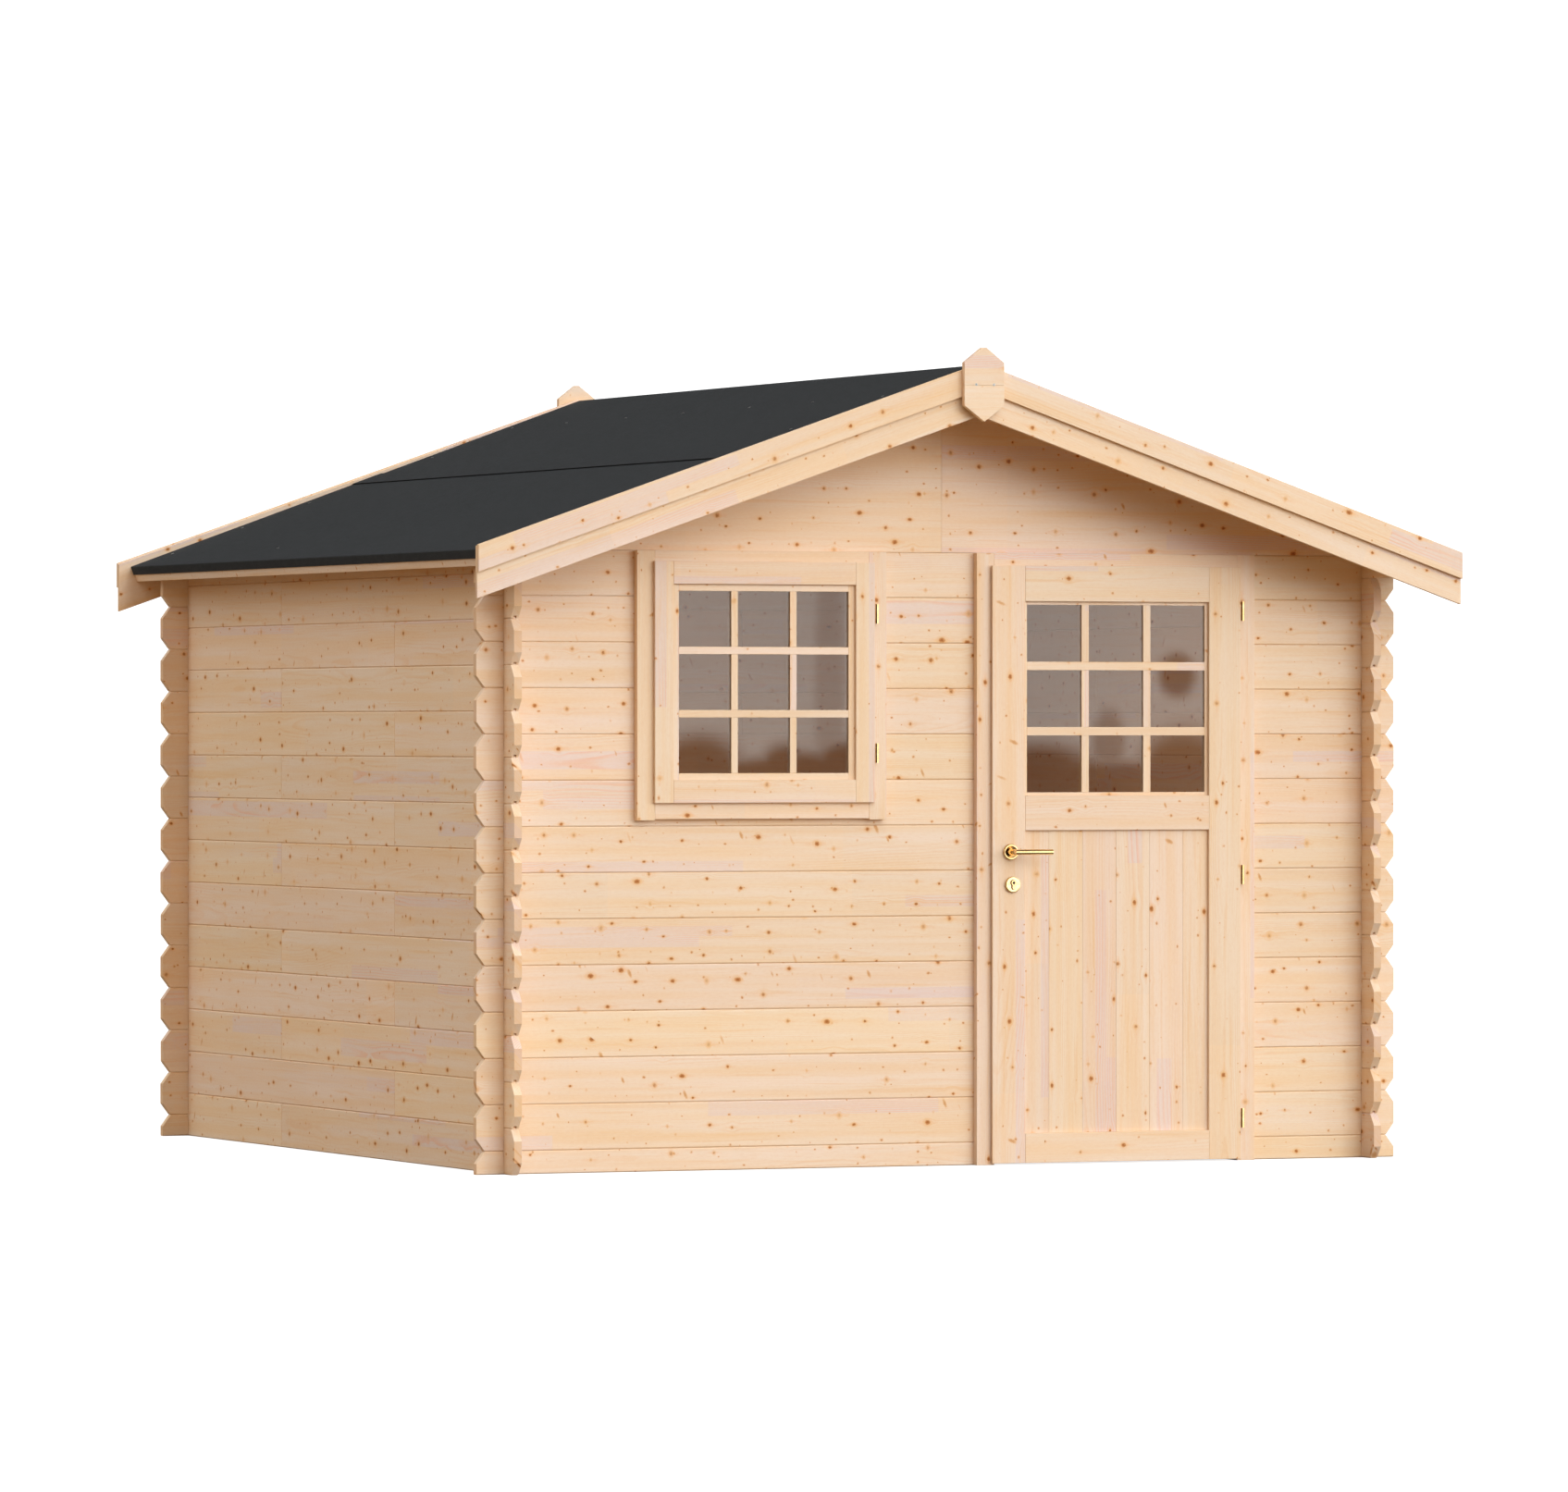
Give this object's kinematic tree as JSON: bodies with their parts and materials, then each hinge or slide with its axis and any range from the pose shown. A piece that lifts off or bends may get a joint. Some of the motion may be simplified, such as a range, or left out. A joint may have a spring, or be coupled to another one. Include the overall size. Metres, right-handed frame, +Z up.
{
  "type": "wooden log garden shed",
  "caption": "Garden shed of interlocking spruce logs with a felted pitched roof, a barred window and an outward opening half glazed door.",
  "frame": {"origin": "middle of the footprint of the whole shed, roof overhangs included, at ground level", "axes": "+Z up, +Y from the front wall with the door towards the back wall, +X to the right as seen facing the front"},
  "size_m": [3.173, 3.28, 2.421],
  "materials": {
    "spruce_logs": "planed, untreated spruce with small knots",
    "spruce_trim": "planed, untreated spruce joinery",
    "roof_boards": "sawn tongued boards",
    "roof_felt": "mineral coated bitumen felt",
    "pane": "clear sheet",
    "brass_fittings": "polished"
  },
  "bodies": {
    "root": {"left_wall": "spruce_logs", "right_wall": "spruce_logs", "back_wall": "spruce_logs", "front_wall_under_window": "spruce_logs", "front_window_sill_log": "spruce_logs", "front_wall_left_of_window": "spruce_logs", "front_wall_between_window_and_door": "spruce_logs", "front_wall_right_of_door": "spruce_logs", "left_wall_plate": "spruce_logs", "right_wall_plate": "spruce_logs", "front_gable_left": "spruce_logs", "front_gable_right": "spruce_logs", "back_gable_left": "spruce_logs", "back_gable_right": "spruce_logs", "ridge_purlin": "spruce_logs", "left_purlin": "spruce_logs", "right_purlin": "spruce_logs", "roof_boards_left": "roof_boards", "roof_boards_right": "roof_boards", "left_eave_batten": "spruce_trim", "right_eave_batten": "spruce_trim", "felt_left_lower": "roof_felt", "felt_right_lower": "roof_felt", "felt_right_upper": "roof_felt", "felt_ridge": "roof_felt", "front_outer_bargeboards": "spruce_trim", "front_inner_bargeboards": "spruce_trim", "back_outer_bargeboards": "spruce_trim", "back_inner_bargeboards": "spruce_trim", "front_finial": "spruce_trim", "back_finial": "spruce_trim", "window_frame": "spruce_trim", "window_sash": "spruce_trim", "window_glass": "pane", "window_hinges": "brass_fittings", "door_frame": "spruce_trim", "door_hinge_pins": "brass_fittings"},
    "door": {"door_leaf": "spruce_trim", "door_panel": "spruce_trim", "door_glass": "pane", "door_hinge_knuckles": "brass_fittings", "door_roses": "brass_fittings"},
    "handle": {"lever_handles": "brass_fittings"}
  },
  "joints": [
    {"name": "door_hinge", "type": "hinge", "parent": "root", "child": "door", "pos_m": [0.964, -1.386, 0.86], "axis": [0, 0, 1], "range_deg": [0, 135]},
    {"name": "lever_handle", "type": "hinge", "parent": "door", "child": "handle", "pos_m": [0.197, -1.372, 0.932], "axis": [0, 1, 0], "range_deg": [0, 40], "stiffness_Nm_per_rad": 0.8, "springref_deg": -25.21}
  ]
}
